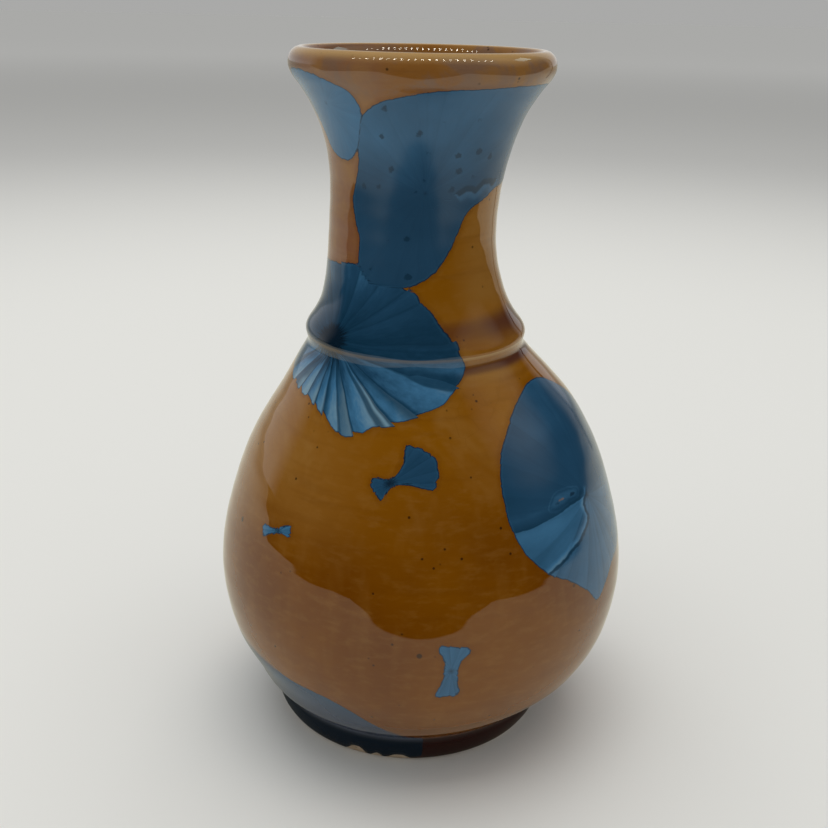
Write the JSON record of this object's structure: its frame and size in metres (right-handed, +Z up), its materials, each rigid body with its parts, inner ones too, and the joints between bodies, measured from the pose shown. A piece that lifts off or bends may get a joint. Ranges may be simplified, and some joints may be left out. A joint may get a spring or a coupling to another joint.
{
  "type": "bud vase",
  "caption": "Hand-thrown ceramic bud vase with a round belly, raised collar, flared rolled lip and crystalline glaze; holds water and flower stems.",
  "frame": {"origin": "on the table under the middle of the belly, which is the middle of the part's bounding box", "axes": "+Z up through the neck to the mouth, -Y towards the viewer of the crystal-covered front, +X to that viewer's right"},
  "size_m": [0.0926, 0.0926, 0.15],
  "materials": {
    "clay": "bare fired stoneware, fine-grained and matt, pale buff",
    "crystal_glaze": "clear high-gloss amber glaze with brown specks and blue zinc silicate crystals, pooling darker at the collar and foot",
    "liner_glaze": "thin glossy amber-brown glaze inside"
  },
  "bodies": {
    "root": {"foot_ring": "clay", "base_floor": "clay", "belly_wall": "clay", "shoulder_wall": "clay", "collar_ridge": "clay", "neck_wall": "clay", "lip_roll": "clay", "glaze_coat": "crystal_glaze", "glaze_liner": "liner_glaze"}
  },
  "joints": []
}
